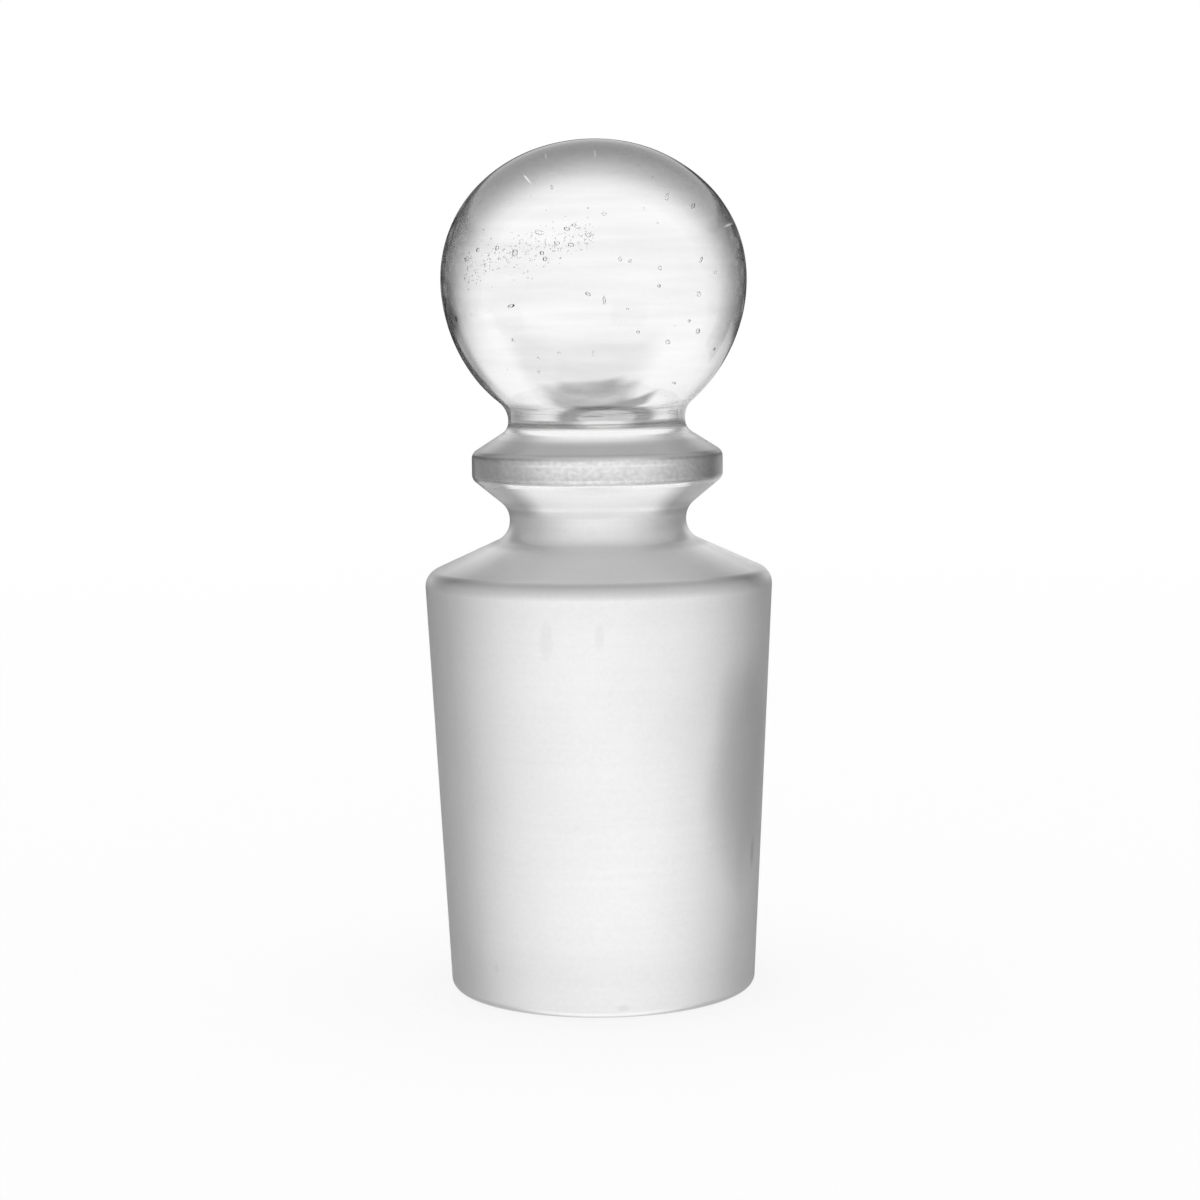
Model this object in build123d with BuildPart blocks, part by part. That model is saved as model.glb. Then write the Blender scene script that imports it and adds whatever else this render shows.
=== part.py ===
from build123d import *

import os
from math import acos, cos, radians, sin, sqrt, tan

# Solid glass stopper: a ground conical plug, a sloping shoulder, a waisted neck with a collar, and a ball grip.
# It is one piece of glass, so it is one solid, turned about +Z from a half section.
# Lengths are in millimetres and angles in degrees. The origin is the centre of the flat base.

# Conical plug, with the 1:10 taper of ground glass joints
cone_wide_diameter = 29.2
cone_length = 35.1
cone_taper_share = 0.1
base_edge_radius = 0.8

# Shoulder that rises from the wide end of the cone to the neck
shoulder_angle = 24.5
shoulder_edge_radius = 1.5

# Neck, waisted below and above the collar, where it is round almost all the way
neck_diameter = 14.8
lower_neck_length = 2.15
lower_neck_fillet_radius = 1.85
upper_neck_length = 1.7
upper_neck_fillet_radius = 1.2
ball_fillet_radius = 1.9
neck_fillet_limit_share = 0.98

# Collar, with a narrow rim between two sloping faces
collar_diameter = 21.0
collar_rim_height = 2.15
collar_under_angle = 39.5
collar_top_angle = 32.5
collar_edge_radius = 0.8
collar_edge_limit_share = 0.5

# Ball grip, a little long below its widest level and a little flat above it
ball_diameter = 25.5
ball_under_radius = 13.3
ball_crown_height = 11.7
ball_side_angle = 45.0

# Radii of the half section
cone_wide_radius = cone_wide_diameter / 2
base_radius = cone_wide_radius - cone_taper_share * cone_length / 2
neck_radius = neck_diameter / 2
collar_radius = collar_diameter / 2
collar_width = collar_radius - neck_radius
ball_radius = ball_diameter / 2

# Arcs of the ball: one below the widest level, and above it a tighter side arc that runs on into a flatter crown
ball_under_centre = ball_radius - ball_under_radius
side_rise = sin(radians(ball_side_angle))
side_run = cos(radians(ball_side_angle))
crown_excess = (ball_radius - ball_crown_height) / (side_rise + side_run - 1)
side_centre = crown_excess * side_run
side_radius = ball_radius - side_centre
crown_radius = side_radius + crown_excess

# Heights of the half section's corners, from the base up
neck_foot = cone_length + (cone_wide_radius - neck_radius) * tan(radians(shoulder_angle))
collar_foot = neck_foot + lower_neck_length
rim_foot = collar_foot + collar_width * tan(radians(collar_under_angle))
rim_top = rim_foot + collar_rim_height
collar_top = rim_top + collar_width * tan(radians(collar_top_angle))
ball_foot = collar_top + upper_neck_length
ball_middle = ball_foot + sqrt(ball_under_radius**2 - (neck_radius - ball_under_centre) ** 2)
crown_centre = ball_middle + ball_crown_height - crown_radius

# Corners of the stem, each a radius and a height
base_corner = (base_radius, 0)
shoulder_corner = (cone_wide_radius, cone_length)
lower_neck_corners = [(neck_radius, neck_foot), (neck_radius, collar_foot)]
rim_corners = [(collar_radius, rim_foot), (collar_radius, rim_top)]
upper_neck_corner = (neck_radius, collar_top)
ball_corner = (neck_radius, ball_foot)

# Lengths of neck that its fillets take up, from the angle that the outline turns through at each corner
right_angle = radians(90)
shoulder_turn = right_angle - radians(shoulder_angle)
under_turn = right_angle - radians(collar_under_angle)
top_turn = right_angle - radians(collar_top_angle)
ball_turn = acos((neck_radius - ball_under_centre) / ball_under_radius)
lower_take = lower_neck_fillet_radius * (tan(shoulder_turn / 2) + tan(under_turn / 2))
upper_take = upper_neck_fillet_radius * tan(top_turn / 2) + ball_fillet_radius * tan(ball_turn / 2)

# Roundings at the neck and the collar, which never outgrow the short faces they run into
lower_neck_share = min(1, neck_fillet_limit_share * lower_neck_length / lower_take)
upper_neck_share = min(1, neck_fillet_limit_share * upper_neck_length / upper_take)
lower_neck_fillet = lower_neck_share * lower_neck_fillet_radius
upper_neck_fillet = upper_neck_share * upper_neck_fillet_radius
ball_fillet = upper_neck_share * ball_fillet_radius
collar_room = min(collar_rim_height, collar_width)
collar_edge = min(collar_edge_radius, collar_edge_limit_share * collar_room)


def corners(section, *points):
    """The section's vertices nearest to these points."""
    return [section.vertices().sort_by_distance(Vector(*point))[0] for point in points]


with BuildPart() as stopper:
    with BuildSketch(Plane.XZ) as section:
        with BuildLine():
            stem = Polyline(
                (0, 0),
                base_corner,
                shoulder_corner,
                *lower_neck_corners,
                *rim_corners,
                upper_neck_corner,
                ball_corner,
            )
            RadiusArc(stem @ 1, (ball_radius, ball_middle), -ball_under_radius)
            CenterArc((side_centre, ball_middle), side_radius, 0, ball_side_angle)
            crown = CenterArc((0, crown_centre), crown_radius, ball_side_angle, 90 - ball_side_angle)
            Line(crown @ 1, stem @ 0)
        make_face()
        fillet(corners(section, base_corner), base_edge_radius)
        fillet(corners(section, shoulder_corner), shoulder_edge_radius)
        fillet(corners(section, *lower_neck_corners), lower_neck_fillet)
        fillet(corners(section, upper_neck_corner), upper_neck_fillet)
        fillet(corners(section, ball_corner), ball_fillet)
        fillet(corners(section, *rim_corners), collar_edge)
    revolve(axis=Axis.Z)

stopper.part.label = "stopper"

os.makedirs("parts", exist_ok=True)
export_step(stopper.part, "parts/stopper.step")
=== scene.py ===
"""Looks of the glass stopper: a fine lathe of clear and ground glass, on a pale floor in white light."""

import math
import random

import bmesh
import bpy
from mathutils import Matrix, Vector, noise
from mathutils.bvhtree import BVHTree


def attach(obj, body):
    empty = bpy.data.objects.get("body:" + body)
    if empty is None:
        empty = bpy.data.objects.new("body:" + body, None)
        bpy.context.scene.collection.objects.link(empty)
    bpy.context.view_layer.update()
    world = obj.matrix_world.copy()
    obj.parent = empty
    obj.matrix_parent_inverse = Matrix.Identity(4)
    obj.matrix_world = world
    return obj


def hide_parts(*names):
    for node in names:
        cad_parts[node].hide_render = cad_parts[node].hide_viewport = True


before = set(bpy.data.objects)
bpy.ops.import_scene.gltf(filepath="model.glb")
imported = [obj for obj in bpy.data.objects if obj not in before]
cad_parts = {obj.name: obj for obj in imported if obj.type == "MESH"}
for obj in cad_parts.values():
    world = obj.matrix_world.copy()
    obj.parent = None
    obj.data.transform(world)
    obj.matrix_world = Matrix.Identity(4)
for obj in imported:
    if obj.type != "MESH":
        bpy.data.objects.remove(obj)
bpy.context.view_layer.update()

MM = 0.001

# Half section in millimetres, as in the solid
CONE_WIDE_RADIUS = 14.6
CONE_LENGTH = 35.1
CONE_TAPER_SHARE = 0.1
BASE_EDGE = 0.8
SHOULDER_ANGLE = math.radians(24.5)
SHOULDER_EDGE = 1.5
NECK_RADIUS = 7.4
LOWER_NECK_LENGTH = 2.15
LOWER_NECK_FILLET = 1.85
UPPER_NECK_LENGTH = 1.7
UPPER_NECK_FILLET = 1.2
BALL_FILLET = 1.9
COLLAR_RADIUS = 10.5
COLLAR_RIM_HEIGHT = 2.15
COLLAR_UNDER_ANGLE = math.radians(39.5)
COLLAR_TOP_ANGLE = math.radians(32.5)
COLLAR_EDGE = 0.8
BALL_RADIUS = 12.75
BALL_UNDER_RADIUS = 13.3
BALL_CROWN_HEIGHT = 11.7
BALL_SIDE_ANGLE = math.radians(45)

# Heights of the section's corners, from the base up
BASE_RADIUS = CONE_WIDE_RADIUS - CONE_TAPER_SHARE * CONE_LENGTH / 2
COLLAR_WIDTH = COLLAR_RADIUS - NECK_RADIUS
NECK_FOOT = CONE_LENGTH + (CONE_WIDE_RADIUS - NECK_RADIUS) * math.tan(SHOULDER_ANGLE)
COLLAR_FOOT = NECK_FOOT + LOWER_NECK_LENGTH
RIM_FOOT = COLLAR_FOOT + COLLAR_WIDTH * math.tan(COLLAR_UNDER_ANGLE)
RIM_TOP = RIM_FOOT + COLLAR_RIM_HEIGHT
COLLAR_TOP = RIM_TOP + COLLAR_WIDTH * math.tan(COLLAR_TOP_ANGLE)
BALL_FOOT = COLLAR_TOP + UPPER_NECK_LENGTH
UNDER_CENTRE = BALL_RADIUS - BALL_UNDER_RADIUS
BALL_MIDDLE = BALL_FOOT + math.sqrt(BALL_UNDER_RADIUS**2 - (NECK_RADIUS - UNDER_CENTRE) ** 2)
CROWN_TOP = BALL_MIDDLE + BALL_CROWN_HEIGHT

# Fineness of the lathe
SEGMENTS = 288
RUN_STEP = 0.9
ARC_STEP = math.radians(7)
BALL_ARC_STEP = math.radians(1.4)

# Camera that took the photograph
LENS = 82.0
SENSOR = 36.0
CLIP_START = 10 * MM
CAMERA_PLACE = Vector((0.085, -228.9, 56.6)) * MM
CAMERA_PITCH = math.radians(5.95)
CAMERA_ROLL = math.radians(-0.70)
PHOTO_SIDE = 1200
CAMERA_TURN = Matrix.Rotation(math.pi / 2 - CAMERA_PITCH, 4, "X") @ Matrix.Rotation(CAMERA_ROLL, 4, "Z")
CAMERA_FRAME = Matrix.Translation(CAMERA_PLACE) @ CAMERA_TURN

# Hand-finished shape, in millimetres: the ball leans, swells and ripples a little, and its crown sags
BALL_LEAN = Vector((-0.13, 0, 0))
LEAN_HEIGHT = 4.0
SWELL = 0.05
SWELL_RATE = 0.13
SWELL_START = Vector((3.3, 6.7, 2))
RIPPLE = 0.006
RIPPLE_RATES = Vector((0.12, 0.12, 1.0))
CROWN_SAG = 0.13
CROWN_SAG_POWER = 8

# Seeds, the small bubbles in the ball: the pixel of the photograph that shows one, its width
# in millimetres, its length against its width, and its lean from upright in degrees
SEED_SPOTS = [
    (515, 253, 0.52, 1.2, -30), (497, 248, 0.36, 1.2, 0), (539, 232, 0.38, 1.7, 80),
    (567, 229, 0.34, 1.5, 70), (588, 235, 0.4, 1.2, 60), (571, 245, 0.38, 1.3, 80),
    (545, 259, 0.36, 1, 0), (557, 243, 0.34, 1.4, 70), (478, 250, 0.34, 1.2, -40),
    (467, 259, 0.36, 1.2, -40), (542, 253, 0.34, 1.2, 30), (574, 225, 0.3, 1.4, 80),
    (552, 187, 0.22, 2, 10), (667, 197, 0.28, 2.4, -20), (693, 206, 0.32, 2.2, -35),
    (701, 260, 0.26, 2, -30), (604, 214, 0.3, 1.3, 80), (660, 268, 0.34, 1.1, 0),
    (620, 259, 0.34, 1, 0), (630, 261, 0.26, 1.2, -40), (715, 272, 0.28, 1.2, 70),
    (659, 286, 0.3, 1.1, 0), (699, 294, 0.36, 1.3, 30), (604, 300, 0.24, 3, 5),
    (588, 294, 0.3, 1.6, 60), (689, 321, 0.3, 1, 0), (698, 331, 0.4, 1.2, 0),
    (668, 342, 0.36, 1.2, 80), (714, 349, 0.34, 1.1, 40), (539, 358, 0.28, 1, 0),
    (539, 372, 0.3, 1, 0), (559, 353, 0.24, 1, 0), (593, 353, 0.2, 2.4, 0),
    (674, 383, 0.3, 1.4, 60), (513, 340, 0.26, 1.2, 0), (638, 332, 0.26, 1.2, 80),
]
SPOT_DEPTHS = (1.0, 6.0)

# A slanting veil of smaller seeds between two pixels of the photograph
VEIL_ENDS = [(464, 270), (594, 230)]
VEIL_SPREAD = 10
VEIL_COUNT = 300
VEIL_DEPTHS = (2.0, 5.0)
VEIL_STRETCHES = (1, 1.5)
SMALL_WIDTHS = (0.06, 0.15)

# A few seeds through the rear half of the ball, and some just under its skin
BALL_HEART = Vector((0, 0, BALL_MIDDLE - 0.5))
DEEP_COUNT = 30
DEEP_REACH = 10.8
DEEP_SPREAD_POWER = 0.33
DEEP_WIDTHS = (0.05, 0.1)
DEEP_STRETCHES = (1, 1.8)
SKIN_COUNT = 45
SKIN_DEPTH = 0.45
SKIN_LOWEST_WAY = -0.5
SKIN_STRETCHES = (1, 2)

# Fineness of the seeds, the start of their random draws, and their place among the materials
WIDE_SEED = 0.3
WIDE_SEED_CUTS = 3
SMALL_SEED_CUTS = 2
DICE_START = 7
SEED_SLOT = 1

# Glass, rough on the outside of its ground parts
GLASS_IOR = 1.5
GLASS_BOUNCES = 32
INNER_ROUGHNESS_STOPS = [(0, 0.2), (COLLAR_TOP - 0.5, 0.2), (COLLAR_TOP + 0.5, 0.012)]
ROUGHNESS_STOPS = [
    (0, 0.3),
    (BASE_EDGE, 0.5),
    (CONE_LENGTH - 1.5, 0.5),
    (CONE_LENGTH + 0.2, 0.4),
    (CONE_LENGTH + 0.8, 0.34),
    (NECK_FOOT - 0.4, 0.34),
    (COLLAR_FOOT - 0.7, 0.45),
    (COLLAR_FOOT - 0.3, 0.55),
    (COLLAR_FOOT + 0.3, 0.5),
    (COLLAR_FOOT + 0.9, 0.3),
    (RIM_FOOT - 0.4, 0.3),
    (RIM_FOOT, 0.1),
    (RIM_FOOT + 0.3, 0.3),
    (RIM_TOP, 0.35),
    (COLLAR_TOP - 0.5, 0.3),
    (COLLAR_TOP, 0.05),
    (COLLAR_TOP + 0.3, 0.015),
]

# Painted shade and light: the share of light that the surface lets through, by how far it turns from the
# ray: 0 square on, 1 edge on. It darkens the outlines and lightens some grazing edges in place of what
# the surroundings would show
SIDE_STOPS = [
    (0, 0.91), (0.08, 0.85), (0.178, 0.76), (0.276, 0.66), (0.418, 0.53), (0.536, 0.46), (0.75, 0.4),
    (1, 0.34),
]
TOP_STOPS = [
    (0, 0.8), (0.3, 0.64), (0.5, 0.54), (0.56, 0.46), (0.61, 0.47), (0.655, 0.55), (0.72, 0.8), (0.78, 1),
    (0.84, 1), (1, 1),
]
UNDER_STOPS = [(0, 1), (0.16, 1), (0.2, 0.95), (0.3, 0.62), (0.37, 0.45), (0.56, 0.36), (1, 0.28)]
TOP_SLOPES = (-0.05, 0.72)
UNDER_SLOPES = (-0.1, -0.6)
VIEW_DROP = 0.06
LEAST_FLAT_SHARE = 0.05
NECK_STOPS = [(0, 1), (0.05, 0.97), (0.1, 0.9), (0.25, 0.78), (0.5, 0.75), (1, 0.73)]
RIM_STOPS = [
    (0, 0.86), (0.07, 0.76), (0.14, 0.62), (0.2, 0.5), (0.3, 0.37), (0.4, 0.26), (0.6, 0.18), (1, 0.15),
]
WAIST_STOPS = [
    (0, 0.82), (0.014, 0.8), (0.035, 0.6), (0.067, 0.42), (0.1, 0.36), (0.2, 0.4), (0.35, 0.36),
    (0.6, 0.28), (1, 0.22),
]
WAIST_SIDE_SHIFT = 0.012
BALL_FOOT_STOPS = [
    (0, 0.58), (0.032, 0.56), (0.045, 0.4), (0.055, 0.32), (0.115, 0.32), (0.135, 0.42), (0.175, 0.72),
    (0.23, 0.82), (0.32, 0.74), (0.45, 0.5), (0.6, 0.28), (1, 0.18),
]
FOOT_RISE_SHIFT = 0.11
FOOT_SIDE_SHIFT = 0.015
LOW_BALL_STOPS = [(0, 0.98), (0.5, 0.95), (0.62, 0.9), (0.7, 0.75), (0.8, 0.4), (0.9, 0.15), (1, 0.1)]
LOW_BALL_SLOPES = (-0.22, -0.68)
CLEAR_STOPS = [
    (0, 0.97), (0.3, 0.955), (0.4, 0.83), (0.45, 0.71), (0.5, 0.58), (0.55, 0.47), (0.6, 0.38),
    (0.65, 0.31), (0.7, 0.25), (0.8, 0.14), (0.9, 0.07), (1, 0.05),
]
CLEAR_SLOPE_SHIFT = 0.14

# Painted shade on the left side of the ball: a factor on that share, darker towards its outline from the
# middle down
LEFT_STOPS = [
    (0, 1), (0.56, 1), (0.6, 0.86), (0.63, 0.64), (0.66, 0.43), (0.7, 0.36), (0.78, 0.38), (0.85, 0.6),
    (1, 1),
]
LEFT_TURNS = (math.radians(-115), math.radians(-65))
LEFT_TURN_FADE = math.radians(20)
LEFT_SLOPES = (0.15, -0.25)
LEFT_FOOT_SLOPES = (-0.85, -0.55)

# Painted highlights, light glints in the outline of the ball: the pixels of the photograph at their ends,
# and their strength
PAINTED_GLINTS = [
    ((594, 149), (596, 158), 0.22),
    ((545, 153), (547, 160), 0.2),
    ((523, 174), (532, 185), 0.9),
    ((722, 228), (733, 223), 0.55),
]
FLECK_HALF_WIDTH = 0.11
FLECK_FADE = (1, 0.1)
FLECK_SHARE = 0.8

# Factors on that share: painted shade along the rounded edges, by how far they face up, and painted light
# over the cone's height, lightest at its foot
ROUNDED_EDGE_STOPS = [
    (0, 1), (0.05, 0.93), (0.26, 0.79), (0.5, 0.69), (0.7, 0.59), (0.8, 0.66), (0.86, 0.85), (0.9, 1),
    (1, 1),
]
ROUNDED_EDGE_TURNS = (0.98, 0.7)
CONE_LIFT_STOPS = [(0, 1.06), (2, 1.06), (10, 1.05), (24, 1)]

# Heights in millimetres: a band has its foot, top and soft edge, and the rest fade between two heights
CONE_END = (CONE_LENGTH + 0.6, CONE_LENGTH + 0.35)
NECK_BAND = (NECK_FOOT - 0.6, COLLAR_FOOT - 0.1, 0.4)
# Painted light: a band at the top of the lower neck, just under the collar, made lighter by this share
NECK_LIFT_BAND = (COLLAR_FOOT - 0.5, COLLAR_FOOT - 0.15, 0.25)
NECK_LIFT_SHARE = 1.08
RIM_BAND = (RIM_FOOT + 0.1, RIM_TOP - 0.2, 0.2)
COLLAR_SLOPE_BAND = (RIM_TOP - 0.4, COLLAR_TOP - 0.9, 0.25)
# Painted light: a bright band at the top of the collar, away from its outline
GLOW_RISE = (COLLAR_TOP - 1.2, COLLAR_TOP - 0.3)
GLOW_END = (COLLAR_TOP + 0.1, COLLAR_TOP)
GLOW_TURNS = (0.62, 0.42)
GROUND_END = (COLLAR_TOP + 0.3, COLLAR_TOP)
WAIST_BAND = (COLLAR_TOP + 0.25, COLLAR_TOP + 0.78, 0.15)
BALL_FOOT_RISE = (COLLAR_TOP + 0.65, COLLAR_TOP + 0.85)
BALL_FOOT_FADE = (COLLAR_TOP + 2.5, COLLAR_TOP + 1.75)

# Painted highlights, light lines along the edges of the collar's rim: band, strength, and the side turns
# where they end
RIM_HIGHLIGHTS = [
    ((RIM_FOOT - 0.4, RIM_FOOT - 0.1, 0.08), 1, (0.38, 0.3)),
    ((RIM_TOP - 0.75, RIM_TOP - 0.62, 0.08), 0.35, (0.3, 0.05)),
]

# Darker patches on the cone, the first and widest of them painted shade: degrees from the front, height,
# half width in degrees, half height, light held back
CONE_PATCHES = [
    (58, 19.4, 25, 12.5, 0.27),
    (-17, 31.0, 2.6, 2.0, 0.05),
    (0, 31.3, 2.2, 1.4, 0.05),
    (68, 12.0, 2.6, 1.7, 0.22),
    (-42, 3.6, 1.6, 0.45, 0.08),
    (7, 0.9, 3.2, 0.4, 0.08),
]

# Grain of the surfaces: waves to the millimetre along each axis, and the range of what they let through
CLOUD_GRAIN = ((0.09, 0.09, 0.07), (0.97, 1.025))
FROST_GRAIN = ((3.0, 3.0, 3.0), (0.98, 1.015))
GRINDING_GRAIN = ((0.05, 0.05, 2.6), (0.99, 1.008))
PATCH_GRAIN = ((0.16, 0.16, 0.1), (0.75, 1.4))
RIM_GRAIN = ((2.4, 2.4, 3.2), (0.88, 1.1))
STRIAE_GRAIN = ((0.1, 0.1, 1.1), (0.93, 1.01))
CARD_GRAIN = ((0.16, 0.16, 0.3), (0.6, 1.25))
WAVE_SPREAD = (0.3, 0.7)

# Painted shade on the skin of a seed, which darkens towards its outline
SEED_SHADE_STOPS = [(0, 1), (0.15, 0.97), (0.3, 0.8), (0.6, 0.6), (1, 0.5)]
SEED_CLEAR_STOPS = [(0, 1), (0.2, 1), (0.38, 0.8), (1, 0.65)]

# Floor of the set, in metres
FLOOR_REACH = 0.6
FLOOR_SIDES = 128
FLOOR_DROP = 0.00002
FLOOR_COLOUR = (0.95, 0.95, 0.95, 1)
FLOOR_COVER = 0.22
FLOOR_CORE_SHARE = 0.3

# Cards behind each side of the stopper, which show through the ball: distance in metres, azimuth,
# half width and elevations in degrees, grey, soft edge, and rise in millimetres to a degree of azimuth.
# Elevations are from where the rays leave the ball
CARD_SIDES = 4
CARD_COLUMNS = 48
LEAVING_REACH = 0.0124
LEAVING_HEIGHT = 0.0566
CARDS = [
    ("wall", 0.042, 2.5, 9, (20, 60), 0.84, 6, 0),
    ("haze", 0.041, 1.5, 7.5, (33, 46), 0.5, 4.5, 0.1),
    ("bar", 0.04, 1, 4, (30.5, 32.5), 0.42, 3.5, 0.14),
    ("arch", 0.039, -3.5, 8.5, (40.5, 77), 0.33, 4.5, 0.14),
]

# Dark cards that show only in the outline of the ball: one all round, and one to the left of each side
RING = ("ring", 0.045, 0, 180, (-11, 34), 0.06, 10, 0)
FLANK = ("flank", 0.06, -25, 10, (-31, -9), 0.06, 5, 0)


def arc(centre, radius, start, end, spacing):
    """Points of an arc in the half section, both ends among them, turning from start to end."""
    steps = max(1, math.ceil(abs(end - start) / spacing))
    angles = [start + (end - start) * i / steps for i in range(steps + 1)]
    return [(centre[0] + radius * math.cos(a), centre[1] + radius * math.sin(a)) for a in angles]


def rounded_corner(before, corner, after, radius):
    """Points of the arc that rounds a corner of the half section."""
    here = Vector(corner)
    back = (Vector(before) - here).normalized()
    ahead = (Vector(after) - here).normalized()
    half_angle = back.angle(ahead) / 2
    middle = here + (back + ahead).normalized() * (radius / math.sin(half_angle))
    first = here + back * (radius / math.tan(half_angle)) - middle
    turn = math.pi - 2 * half_angle
    side = 1 if back.x * ahead.y - back.y * ahead.x < 0 else -1
    start = math.atan2(first.y, first.x)
    return arc(middle, radius, start, start + side * turn, ARC_STEP)


def ball_fillet():
    """The concave arc between neck and ball, and the angle where it meets the ball's under side."""
    across = NECK_RADIUS + BALL_FILLET
    reach = BALL_UNDER_RADIUS + BALL_FILLET
    drop = math.sqrt(reach**2 - (across - UNDER_CENTRE) ** 2)
    ball_angle = math.atan2(-drop, across - UNDER_CENTRE)
    points = arc((across, BALL_MIDDLE - drop), BALL_FILLET, math.pi, ball_angle + math.pi, ARC_STEP)
    return points, ball_angle


def with_runs(points):
    """The same outline with its long straight runs cut into short steps."""
    fine = [points[0]]
    for a, b in zip(points, points[1:]):
        steps = max(1, math.ceil(math.dist(a, b) / RUN_STEP))
        run, climb = b[0] - a[0], b[1] - a[1]
        fine += [(a[0] + run * i / steps, a[1] + climb * i / steps) for i in range(1, steps + 1)]
    return fine


def half_section():
    """Outline of the stopper from the centre of its base to the top of its ball, as radii and heights."""
    corners = [
        (BASE_RADIUS, 0, BASE_EDGE),
        (CONE_WIDE_RADIUS, CONE_LENGTH, SHOULDER_EDGE),
        (NECK_RADIUS, NECK_FOOT, LOWER_NECK_FILLET),
        (NECK_RADIUS, COLLAR_FOOT, LOWER_NECK_FILLET),
        (COLLAR_RADIUS, RIM_FOOT, COLLAR_EDGE),
        (COLLAR_RADIUS, RIM_TOP, COLLAR_EDGE),
        (NECK_RADIUS, COLLAR_TOP, UPPER_NECK_FILLET),
    ]
    path = [(0, 0), *[corner[:2] for corner in corners], (NECK_RADIUS, BALL_FOOT)]
    points = [(0, 0)]
    for before, (radius, height, rounding), after in zip(path, corners, path[2:]):
        points += rounded_corner(before, (radius, height), after, rounding)
    fillet_points, ball_angle = ball_fillet()
    points = with_runs(points + fillet_points)

    side_rise, side_run = math.sin(BALL_SIDE_ANGLE), math.cos(BALL_SIDE_ANGLE)
    excess = (BALL_RADIUS - BALL_CROWN_HEIGHT) / (side_rise + side_run - 1)
    side_centre = excess * side_run
    side_radius = BALL_RADIUS - side_centre
    crown_radius = side_radius + excess
    under = arc((UNDER_CENTRE, BALL_MIDDLE), BALL_UNDER_RADIUS, ball_angle, 0, BALL_ARC_STEP)
    side = arc((side_centre, BALL_MIDDLE), side_radius, 0, BALL_SIDE_ANGLE, BALL_ARC_STEP)
    crown = arc((0, CROWN_TOP - crown_radius), crown_radius, BALL_SIDE_ANGLE, math.pi / 2, BALL_ARC_STEP)
    return points + under[1:] + side[1:] + crown[1:]


def lathe(section):
    """A closed mesh turned about Z from a half section that starts and ends on the axis."""
    mesh = bmesh.new()
    turns = [2 * math.pi * i / SEGMENTS for i in range(SEGMENTS)]
    rings = []
    for radius, height in section[1:-1]:
        places = [Vector((radius * math.cos(a), radius * math.sin(a), height)) for a in turns]
        rings.append([mesh.verts.new(place * MM) for place in places])
    foot = mesh.verts.new((0, 0, section[0][1] * MM))
    top = mesh.verts.new((0, 0, section[-1][1] * MM))
    for i in range(SEGMENTS):
        j = (i + 1) % SEGMENTS
        mesh.faces.new((foot, rings[0][j], rings[0][i]))
        for low, high in zip(rings, rings[1:]):
            mesh.faces.new((low[i], low[j], high[j], high[i]))
        mesh.faces.new((rings[-1][i], rings[-1][j], top))
    return mesh


def make_uneven(mesh):
    """Leans the ball a little, and gives it the swells, ripples and sag of hand-finished glass."""
    for vertex in mesh.verts:
        place = vertex.co / MM
        rise = min(1, max(0, (place.z - COLLAR_TOP) / LEAN_HEIGHT))
        share = rise * rise * (3 - 2 * rise)
        outward = (place - BALL_HEART).normalized()
        swell = SWELL * noise.noise(place * SWELL_RATE + SWELL_START)
        swell += RIPPLE * noise.noise(place * RIPPLE_RATES)
        sag = CROWN_SAG * max(0, outward.z) ** CROWN_SAG_POWER
        vertex.co += (outward * (swell - sag) + BALL_LEAN) * share * MM


def seen_on(surface, pixel):
    """The ray of a pixel of the photograph, and the point and the normal that it meets on a surface."""
    focal = LENS / SENSOR * PHOTO_SIDE
    aim = Vector((pixel[0] - PHOTO_SIDE / 2, PHOTO_SIDE / 2 - pixel[1], -focal))
    ray = CAMERA_FRAME.to_3x3() @ aim.normalized()
    spot, normal, _, _ = surface.ray_cast(CAMERA_PLACE, ray)
    return ray, spot, normal


def seen_inside(surface, pixel, depth):
    """The point that far inside the glass, along the bent ray of a pixel of the photograph."""
    ray, spot, normal = seen_on(surface, pixel)
    facing = -ray.dot(normal)
    turned = math.sqrt(1 - (1 - facing**2) / GLASS_IOR**2)
    inward = ray / GLASS_IOR + normal * (facing / GLASS_IOR - turned)
    return spot + inward * depth * MM


def add_seed(mesh, place, width, stretch, lean):
    """A small closed bubble."""
    turn = CAMERA_TURN @ Matrix.Rotation(lean, 4, "Z")
    size = Matrix.Diagonal((width / 2 * MM, width / 2 * MM * stretch, width / 2 * MM, 1))
    cuts = WIDE_SEED_CUTS if width > WIDE_SEED else SMALL_SEED_CUTS
    form = Matrix.Translation(place) @ turn @ size
    bmesh.ops.create_icosphere(mesh, subdivisions=cuts, radius=1, matrix=form)


def add_random_seed(mesh, place, dice, widths, stretches):
    """A seed whose width, stretch and lean are drawn at random."""
    add_seed(mesh, place, dice.uniform(*widths), dice.uniform(*stretches), dice.uniform(0, math.pi))


def random_way(dice):
    """A direction picked evenly from all round."""
    height = dice.uniform(-1, 1)
    turn = dice.uniform(0, 2 * math.pi)
    reach = math.sqrt(1 - height * height)
    return Vector((reach * math.cos(turn), reach * math.sin(turn), height))


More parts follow.
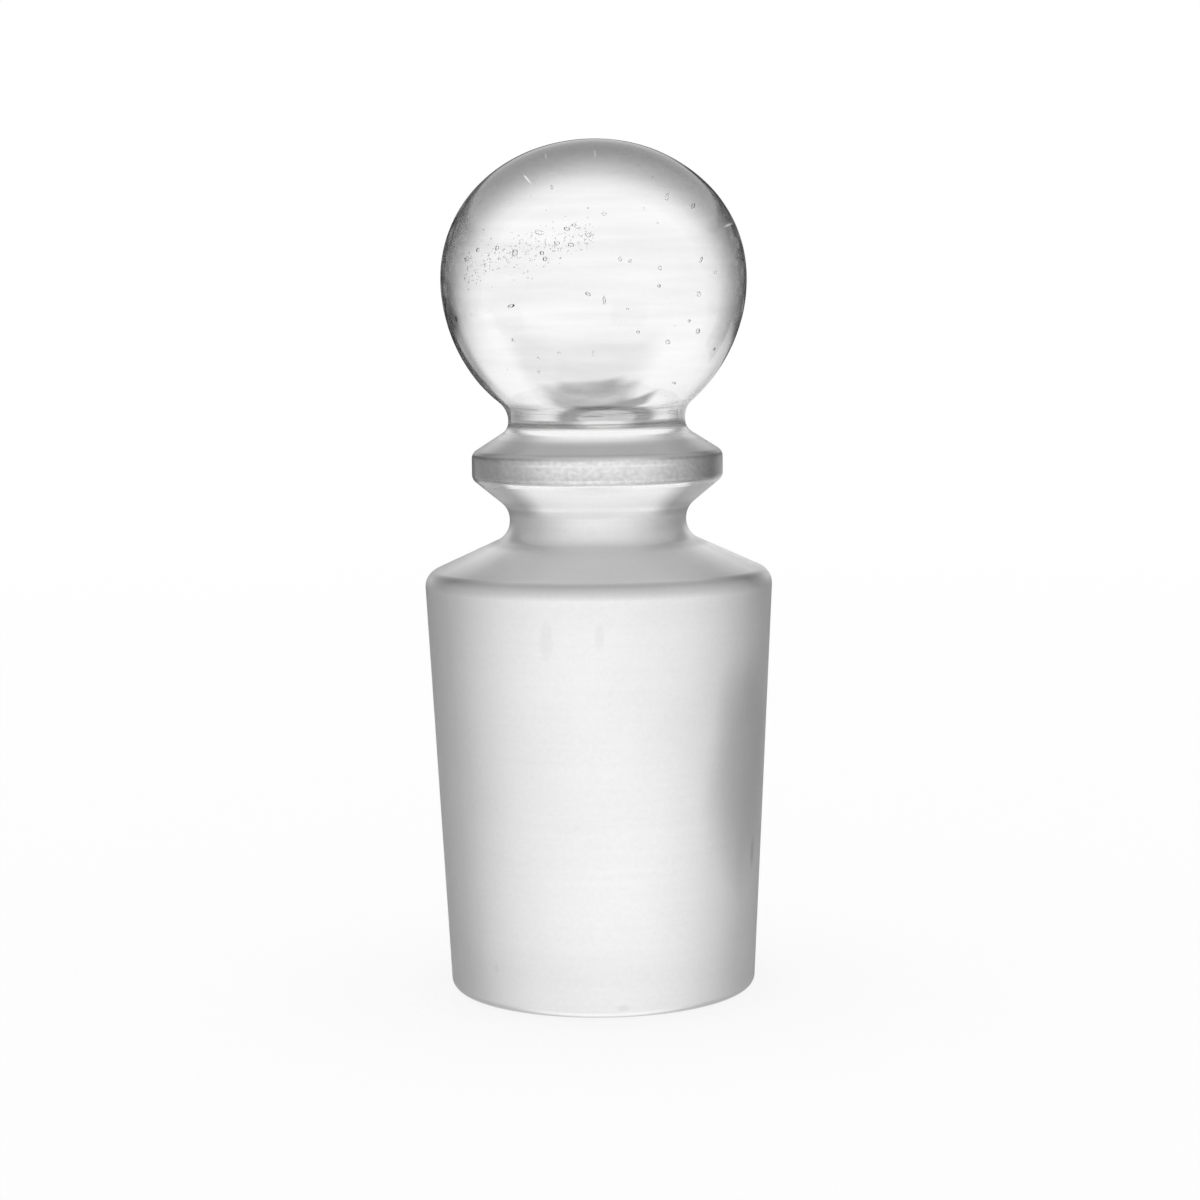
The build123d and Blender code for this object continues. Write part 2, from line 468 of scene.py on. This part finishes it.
def seed_mesh(surface):
    """The seeds that the photograph shows, the veil of small ones, and others all through the ball."""
    dice = random.Random(DICE_START)
    mesh = bmesh.new()
    for x, y, width, stretch, lean in SEED_SPOTS:
        place = seen_inside(surface, (x, y), dice.uniform(*SPOT_DEPTHS))
        add_seed(mesh, place, width, stretch, math.radians(lean))
    (first_x, first_y), (last_x, last_y) = VEIL_ENDS
    for _ in range(VEIL_COUNT):
        along = dice.random()
        x = first_x + (last_x - first_x) * along
        y = first_y + (last_y - first_y) * along + dice.gauss(0, VEIL_SPREAD)
        place = seen_inside(surface, (x, y), dice.uniform(*VEIL_DEPTHS))
        add_random_seed(mesh, place, dice, SMALL_WIDTHS, VEIL_STRETCHES)
    for _ in range(DEEP_COUNT):
        way = random_way(dice)
        way.y = abs(way.y)
        place = (BALL_HEART + way * DEEP_REACH * dice.random() ** DEEP_SPREAD_POWER) * MM
        add_random_seed(mesh, place, dice, DEEP_WIDTHS, DEEP_STRETCHES)
    for _ in range(SKIN_COUNT):
        way = random_way(dice)
        way.z = max(way.z, SKIN_LOWEST_WAY)
        spot, normal, _, _ = surface.ray_cast(BALL_HEART * MM, way.normalized())
        place = spot - normal * SKIN_DEPTH * MM
        add_random_seed(mesh, place, dice, SMALL_WIDTHS, SKIN_STRETCHES)
    bmesh.ops.reverse_faces(mesh, faces=mesh.faces[:])
    for face in mesh.faces:
        face.material_index = SEED_SLOT
    return mesh


def stopper_piece(name):
    """The whole stopper as one piece of glass."""
    mesh = lathe(half_section())
    make_uneven(mesh)
    mesh.normal_update()
    data = bpy.data.meshes.new(name)
    surface = BVHTree.FromBMesh(mesh)
    seeds = seed_mesh(surface)
    seeds.to_mesh(data)
    seeds.free()
    mesh.from_mesh(data)
    for face in mesh.faces:
        face.smooth = True
    mesh.to_mesh(data)
    mesh.free()
    data.materials.append(glass_material(surface))
    data.materials.append(seed_material())
    piece = bpy.data.objects.new(name, data)
    bpy.context.scene.collection.objects.link(piece)
    return piece


def add_node(tree, kind, **values):
    """A shader node with its settings and unlinked inputs set by name."""
    made = tree.nodes.new(kind)
    for name, value in values.items():
        if name in made.inputs:
            made.inputs[name].default_value = value
        else:
            setattr(made, name, value)
    return made


def calc(tree, operation, *values):
    """The outcome of a sum, whose values are sockets or numbers."""
    made = add_node(tree, "ShaderNodeMath", operation=operation)
    for socket, value in zip(made.inputs, values):
        if isinstance(value, bpy.types.NodeSocket):
            tree.links.new(value, socket)
        else:
            socket.default_value = value
    return made.outputs[0]


def times(tree, first, second):
    """The product of two values."""
    return calc(tree, "MULTIPLY", first, second)


def step(tree, value, low, high):
    """A factor that rises smoothly from 0 at low to 1 at high."""
    made = add_node(tree, "ShaderNodeMapRange", interpolation_type="SMOOTHSTEP")
    made.inputs["From Min"].default_value = low
    made.inputs["From Max"].default_value = high
    tree.links.new(value, made.inputs["Value"])
    return made.outputs[0]


def blend(tree, factor, first, second):
    """A value that goes from the first to the second as the factor goes from 0 to 1."""
    made = add_node(tree, "ShaderNodeMix")
    tree.links.new(factor, made.inputs["Factor"])
    for name, value in (("A", first), ("B", second)):
        if isinstance(value, bpy.types.NodeSocket):
            tree.links.new(value, made.inputs[name])
        else:
            made.inputs[name].default_value = value
    return made.outputs[0]


def ramp(tree, value, stops):
    """A value that follows another one through stops, each a place from 0 to 1 and an outcome."""
    made = add_node(tree, "ShaderNodeValToRGB")
    elements = made.color_ramp.elements
    while len(elements) < len(stops):
        elements.new(0.5)
    for element, (place, outcome) in zip(elements, stops):
        element.position = place
        element.color = (outcome, outcome, outcome, 1)
    tree.links.new(value, made.inputs[0])
    return made.outputs["Color"]


def window(tree, value, low, high, edge):
    """A factor that is 1 between low and high and fades to 0 over the edges outside them."""
    return times(tree, step(tree, value, low - edge, low), step(tree, value, high + edge, high))


def edge_on(tree):
    """How far the surface turns away from the ray: 0 is square on, 1 is edge on."""
    return add_node(tree, "ShaderNodeLayerWeight", Blend=0.5).outputs["Facing"]


def grain(tree, place, rates, limits):
    """A value that wanders between two limits, at so many waves to the millimetre along each axis."""
    stretch = add_node(tree, "ShaderNodeVectorMath", operation="MULTIPLY")
    stretch.inputs[1].default_value = [rate / MM for rate in rates]
    tree.links.new(place, stretch.inputs[0])
    waves = add_node(tree, "ShaderNodeTexNoise", Scale=1, Detail=2)
    tree.links.new(stretch.outputs[0], waves.inputs["Vector"])
    spread = add_node(tree, "ShaderNodeMapRange")
    for name, value in zip(("From Min", "From Max", "To Min", "To Max"), (*WAVE_SPREAD, *limits)):
        spread.inputs[name].default_value = value
    tree.links.new(waves.outputs["Fac"], spread.inputs["Value"])
    return spread.outputs[0]


def by_height(stops):
    """Stops given by height in millimetres, as stops over the whole height."""
    return [(max(0, min(1, height / CROWN_TOP)), value) for height, value in stops]


def cone_patches(tree, turn, height, wander):
    """The share of light that the darker patches on the cone leave, the widest of them painted shade."""
    left = None
    for azimuth, level, half_width, half_height, depth in CONE_PATCHES:
        ahead = calc(tree, "SUBTRACT", turn, math.radians(azimuth))
        across = calc(tree, "DIVIDE", ahead, math.radians(half_width))
        up = calc(tree, "DIVIDE", calc(tree, "SUBTRACT", height, level), half_height)
        reach = calc(tree, "ADD", times(tree, across, across), times(tree, up, up))
        cover = times(tree, step(tree, times(tree, reach, wander), 1, 0), depth)
        share = calc(tree, "SUBTRACT", 1, cover)
        left = share if left is None else times(tree, left, share)
    return left


def flecks(tree, place, surface):
    """A factor that is 1 in the painted highlights, the light glints in the ball's outline."""
    total = 0
    for first, last, strength in PAINTED_GLINTS:
        _, low, _ = seen_on(surface, first)
        _, high, normal = seen_on(surface, last)
        along = (high - low) / (2 * MM)
        across = along.cross(normal).normalized() * FLECK_HALF_WIDTH
        offset = add_node(tree, "ShaderNodeVectorMath", operation="SUBTRACT")
        tree.links.new(place, offset.inputs[0])
        offset.inputs[1].default_value = (low + high) / 2
        reach = 0
        for way in (along, across):
            part = add_node(tree, "ShaderNodeVectorMath", operation="DOT_PRODUCT")
            tree.links.new(offset.outputs[0], part.inputs[0])
            part.inputs[1].default_value = way / (way.length_squared * MM)
            share = part.outputs["Value"]
            reach = calc(tree, "ADD", times(tree, share, share), reach)
        total = calc(tree, "ADD", times(tree, step(tree, reach, *FLECK_FADE), strength), total)
    return total


def clear_glass(name):
    """A glass material, with its tree and its shader."""
    material = bpy.data.materials.new(name)
    material.use_nodes = True
    tree = material.node_tree
    shader = tree.nodes["Principled BSDF"]
    shader.inputs["IOR"].default_value = GLASS_IOR
    shader.inputs["Transmission Weight"].default_value = 1
    return material, tree, shader


def glass_material(surface_tree):
    """Clear glass, polished on the ball and ground below it, whose tint carries painted shade and light.
    """
    material, tree, shader = clear_glass("stopper_glass")
    place = add_node(tree, "ShaderNodeTexCoord").outputs["Object"]
    split = add_node(tree, "ShaderNodeSeparateXYZ")
    tree.links.new(place, split.inputs[0])
    height = calc(tree, "DIVIDE", split.outputs["Z"], MM)
    level = calc(tree, "DIVIDE", height, CROWN_TOP)
    turn = calc(tree, "ARCTAN2", split.outputs["X"], times(tree, split.outputs["Y"], -1))
    surface = add_node(tree, "ShaderNodeNewGeometry")
    inner = surface.outputs["Backfacing"]
    lean = add_node(tree, "ShaderNodeSeparateXYZ")
    tree.links.new(surface.outputs["Normal"], lean.inputs[0])
    upward = lean.outputs["Z"]
    edge = edge_on(tree)

    flat = calc(tree, "SUBTRACT", 1, times(tree, upward, upward))
    flat = calc(tree, "SQRT", calc(tree, "MAXIMUM", flat, LEAST_FLAT_SHARE))
    facing = calc(tree, "SUBTRACT", calc(tree, "SUBTRACT", 1, edge), times(tree, upward, VIEW_DROP))
    side_edge = calc(tree, "SUBTRACT", 1, calc(tree, "DIVIDE", facing, flat))
    # Painted shade and light on the ground glass, by how far it turns from the ray
    sides, under = ramp(tree, side_edge, SIDE_STOPS), ramp(tree, side_edge, UNDER_STOPS)
    ground = blend(tree, step(tree, upward, *UNDER_SLOPES), sides, under)
    ground = blend(tree, step(tree, upward, *TOP_SLOPES), ground, ramp(tree, edge, TOP_STOPS))
    neck = window(tree, height, *NECK_BAND)
    ground = times(tree, ground, blend(tree, neck, 1, ramp(tree, side_edge, NECK_STOPS)))
    # Painted light just under the collar
    lift = window(tree, height, *NECK_LIFT_BAND)
    ground = times(tree, ground, blend(tree, lift, 1, NECK_LIFT_SHARE))
    # Painted shade along the rounded edges, and painted light towards the foot of the cone
    cone = step(tree, height, *CONE_END)
    edges = calc(tree, "ADD", cone, window(tree, height, *COLLAR_SLOPE_BAND))
    edges = times(tree, edges, step(tree, edge, *ROUNDED_EDGE_TURNS))
    ground = times(tree, ground, blend(tree, edges, 1, ramp(tree, upward, ROUNDED_EDGE_STOPS)))
    ground = times(tree, ground, ramp(tree, level, by_height(CONE_LIFT_STOPS)))
    for rates, limits in (CLOUD_GRAIN, FROST_GRAIN, GRINDING_GRAIN):
        ground = times(tree, ground, grain(tree, place, rates, limits))
    # Darker patches on the cone, the widest of them painted shade
    patches = cone_patches(tree, turn, height, grain(tree, place, *PATCH_GRAIN))
    ground = times(tree, ground, blend(tree, cone, 1, patches))

    # Painted shade: the collar's rim darkens towards its outline
    rim = times(tree, ramp(tree, edge, RIM_STOPS), grain(tree, place, *RIM_GRAIN))
    ground = blend(tree, window(tree, height, *RIM_BAND), ground, rim)
    # Painted highlights along the edges of the collar's rim
    for band, strength, reach in RIM_HIGHLIGHTS:
        shine = times(tree, window(tree, height, *band), step(tree, side_edge, *reach))
        ground = blend(tree, times(tree, shine, strength), ground, 1)
    # Painted light: a bright band at the top of the collar
    glow = times(tree, step(tree, height, *GLOW_RISE), step(tree, height, *GLOW_END))
    ground = blend(tree, times(tree, glow, step(tree, edge, *GLOW_TURNS)), ground, 1)

    # Painted shade on the ball, darker towards its outline
    slope_edge = calc(tree, "ADD", edge, times(tree, upward, CLEAR_SLOPE_SHIFT))
    clear = blend(
        tree,
        step(tree, upward, *LOW_BALL_SLOPES),
        ramp(tree, slope_edge, CLEAR_STOPS),
        ramp(tree, edge, LOW_BALL_STOPS),
    )
    # Painted shade on the lower left of the ball, towards its outline
    left = window(tree, turn, *LEFT_TURNS, LEFT_TURN_FADE)
    for slopes in (LEFT_SLOPES, LEFT_FOOT_SLOPES):
        left = times(tree, left, step(tree, upward, *slopes))
    clear = times(tree, clear, blend(tree, left, 1, ramp(tree, edge, LEFT_STOPS)))
    clear = times(tree, clear, grain(tree, place, *STRIAE_GRAIN))
    # Painted highlights: light glints in the ball's outline
    clear = blend(tree, flecks(tree, place, surface_tree), clear, FLECK_SHARE)
    # Painted shade and light in arcs at the foot of the ball
    foot_rise = calc(tree, "SUBTRACT", height, BALL_FOOT_RISE[1])
    foot_rise = times(tree, foot_rise, FOOT_RISE_SHIFT)
    foot_side = times(tree, split.outputs["X"], FOOT_SIDE_SHIFT / MM)
    foot_edge = calc(tree, "SUBTRACT", edge, calc(tree, "ADD", foot_rise, foot_side))
    foot = times(tree, step(tree, height, *BALL_FOOT_RISE), step(tree, height, *BALL_FOOT_FADE))
    clear = blend(tree, foot, clear, ramp(tree, foot_edge, BALL_FOOT_STOPS))
    # Painted shade in arcs at the ball's waist
    waist_side = times(tree, split.outputs["X"], WAIST_SIDE_SHIFT / MM)
    waist_edge = calc(tree, "SUBTRACT", edge, waist_side)
    clear = blend(tree, window(tree, height, *WAIST_BAND), clear, ramp(tree, waist_edge, WAIST_STOPS))
    outer = blend(tree, step(tree, height, *GROUND_END), clear, ground)
    # The painted shade and light go into the tint on the outside of the glass only
    through = blend(tree, inner, outer, 1)
    tree.links.new(times(tree, through, through), shader.inputs["Base Color"])

    inner_roughness = ramp(tree, level, by_height(INNER_ROUGHNESS_STOPS))
    roughness = blend(tree, inner, ramp(tree, level, by_height(ROUGHNESS_STOPS)), inner_roughness)
    tree.links.new(roughness, shader.inputs["Roughness"])
    return material


def seed_material():
    """The skin of a seed, with painted shade towards its outline."""
    material, tree, shader = clear_glass("seed_glass")
    edge = edge_on(tree)
    # Painted shade: darker and less clear towards the seed's outline
    tree.links.new(ramp(tree, edge, SEED_SHADE_STOPS), shader.inputs["Base Color"])
    tree.links.new(ramp(tree, edge, SEED_CLEAR_STOPS), shader.inputs["Transmission Weight"])
    shader.inputs["Roughness"].default_value = 0
    return material


def plain_material(name, colour, roughness):
    """A plain matt material."""
    material = bpy.data.materials.new(name)
    material.use_nodes = True
    shader = material.node_tree.nodes["Principled BSDF"]
    shader.inputs["Base Color"].default_value = colour
    shader.inputs["Roughness"].default_value = roughness
    shader.inputs["Specular IOR Level"].default_value = 0
    return material


def card_material(name, grey):
    """The material of a grey card, with its tree and the socket of its cover."""
    material = bpy.data.materials.new(name)
    material.use_nodes = True
    tree = material.node_tree
    tree.nodes.clear()
    output = add_node(tree, "ShaderNodeOutputMaterial")
    mix = add_node(tree, "ShaderNodeMixShader")
    clear = add_node(tree, "ShaderNodeBsdfTransparent")
    shade = add_node(tree, "ShaderNodeEmission", Color=(grey, grey, grey, 1))
    tree.links.new(clear.outputs[0], mix.inputs[1])
    tree.links.new(shade.outputs[0], mix.inputs[2])
    tree.links.new(mix.outputs[0], output.inputs["Surface"])
    return material, tree, mix.inputs[0]


def stage_card(name, mesh, material, reflected):
    """A card beside the set that shows either in reflections or through the glass, not to the camera."""
    mesh.materials.append(material)
    card = bpy.data.objects.new(name, mesh)
    bpy.context.scene.collection.objects.link(card)
    card.visible_camera = False
    card.visible_diffuse = False
    card.visible_shadow = False
    card.visible_glossy = reflected
    card.visible_transmission = not reflected


def make_card(name, distance, azimuth, half_width, elevations, grey, edge, slant, reflected=False):
    """A soft-edged card bent round the set. Azimuth 0 is behind the stopper, and +90 is on the right."""
    middle, half, soft = [math.radians(angle) for angle in (azimuth, half_width, edge)]
    away = distance - LEAVING_REACH
    low, high = [LEAVING_HEIGHT + away * math.tan(math.radians(angle)) for angle in elevations]
    fade = away * math.tan(soft)
    rise = slant * MM / math.radians(1)
    reach = fade + abs(rise) * (half + soft)
    vertices = []
    for i in range(CARD_COLUMNS + 1):
        turn = middle + (half + soft) * (2 * i / CARD_COLUMNS - 1)
        x, y = distance * math.sin(turn), distance * math.cos(turn)
        vertices += [(x, y, low - reach), (x, y, high + reach)]
    faces = [(2 * i, 2 * i + 2, 2 * i + 3, 2 * i + 1) for i in range(CARD_COLUMNS)]
    mesh = bpy.data.meshes.new(name)
    mesh.from_pydata(vertices, [], faces)
    material, tree, cover = card_material(name, grey)
    split = add_node(tree, "ShaderNodeSeparateXYZ")
    place = add_node(tree, "ShaderNodeTexCoord").outputs["Object"]
    tree.links.new(place, split.inputs[0])
    turn = calc(tree, "ARCTAN2", split.outputs["X"], split.outputs["Y"])
    ahead = calc(tree, "WRAP", calc(tree, "SUBTRACT", turn, middle), math.pi, -math.pi)
    across = window(tree, ahead, -half, half, soft)
    level = calc(tree, "SUBTRACT", split.outputs["Z"], times(tree, ahead, rise))
    up = window(tree, level, low, high, fade)
    weave = grain(tree, place, *CARD_GRAIN)
    tree.links.new(times(tree, times(tree, across, up), weave), cover)
    stage_card(name, mesh, material, reflected)


def make_floor():
    """A pale floor under the stopper, which runs out into white."""
    bpy.ops.mesh.primitive_circle_add(
        vertices=FLOOR_SIDES,
        radius=FLOOR_REACH,
        fill_type="NGON",
        location=(0, 0, -FLOOR_DROP),
    )
    floor = bpy.context.object
    floor.name = "floor"
    material = plain_material("pale_floor", FLOOR_COLOUR, 1)
    tree = material.node_tree
    place = add_node(tree, "ShaderNodeTexCoord")
    reach = add_node(tree, "ShaderNodeVectorMath", operation="LENGTH")
    tree.links.new(place.outputs["Object"], reach.inputs[0])
    fade = step(tree, reach.outputs["Value"], FLOOR_REACH, FLOOR_CORE_SHARE * FLOOR_REACH)
    light = add_node(tree, "ShaderNodeLightPath")
    unseen = calc(tree, "MAXIMUM", light.outputs["Is Transmission Ray"], light.outputs["Is Glossy Ray"])
    strength = times(tree, calc(tree, "SUBTRACT", 1, unseen), FLOOR_COVER)
    tree.links.new(times(tree, fade, strength), tree.nodes["Principled BSDF"].inputs["Alpha"])
    floor.data.materials.append(material)


def make_world():
    """White studio light from every side."""
    world = bpy.data.worlds.new("studio")
    bpy.context.scene.world = world
    world.use_nodes = True
    world.node_tree.nodes["Background"].inputs["Color"].default_value = (1, 1, 1, 1)
    world.node_tree.nodes["Background"].inputs["Strength"].default_value = 1


def make_camera():
    """The camera at the photograph's viewing angle."""
    data = bpy.data.cameras.new("camera")
    data.lens = LENS
    data.sensor_width = SENSOR
    data.clip_start = CLIP_START
    camera = bpy.data.objects.new("camera", data)
    bpy.context.scene.collection.objects.link(camera)
    camera.matrix_world = CAMERA_FRAME
    bpy.context.scene.camera = camera


stopper = stopper_piece("glass_stopper")
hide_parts("stopper")
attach(stopper, "root")

make_floor()
make_world()
make_camera()
for side in range(CARD_SIDES):
    turn = 360 // CARD_SIDES * side
    for name, distance, azimuth, *rest in [*CARDS, FLANK]:
        make_card(f"{name}_{side}", distance, azimuth + turn, *rest, reflected=name == FLANK[0])
make_card(*RING, reflected=True)
bpy.context.scene.view_settings.view_transform = "Standard"
bpy.context.scene.cycles.max_bounces = GLASS_BOUNCES
bpy.context.scene.cycles.transmission_bounces = GLASS_BOUNCES
bpy.context.scene.cycles.glossy_bounces = GLASS_BOUNCES
